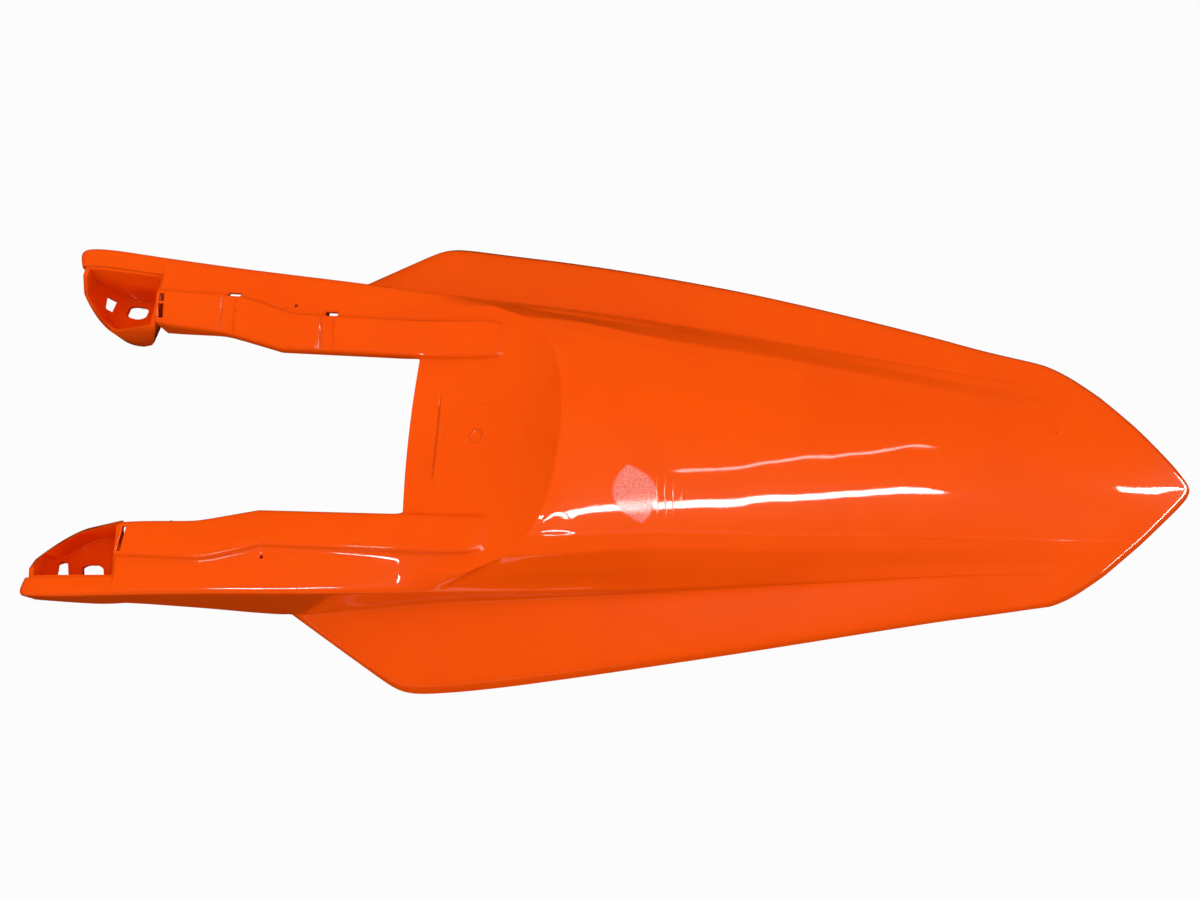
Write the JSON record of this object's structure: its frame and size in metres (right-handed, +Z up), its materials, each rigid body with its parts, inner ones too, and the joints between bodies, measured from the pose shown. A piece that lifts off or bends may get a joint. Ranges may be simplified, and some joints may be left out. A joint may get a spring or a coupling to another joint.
{
  "type": "motorcycle rear fender",
  "caption": "One-piece moulded rear fender of an off-road motorcycle: forward arms with open pockets, a seat plate, a crowned tail and drooping side wings.",
  "frame": {"origin": "middle of the underside of the fender's bounding box, on the surface it lies on", "axes": "+X to the tail tip, +Y to the machine's right-hand side, +Z up as the fender lies"},
  "size_m": [0.7139, 0.3068, 0.105],
  "materials": {
    "orange_plastic": "gloss"
  },
  "bodies": {
    "root": {"rear_fender": "orange_plastic"}
  },
  "joints": []
}
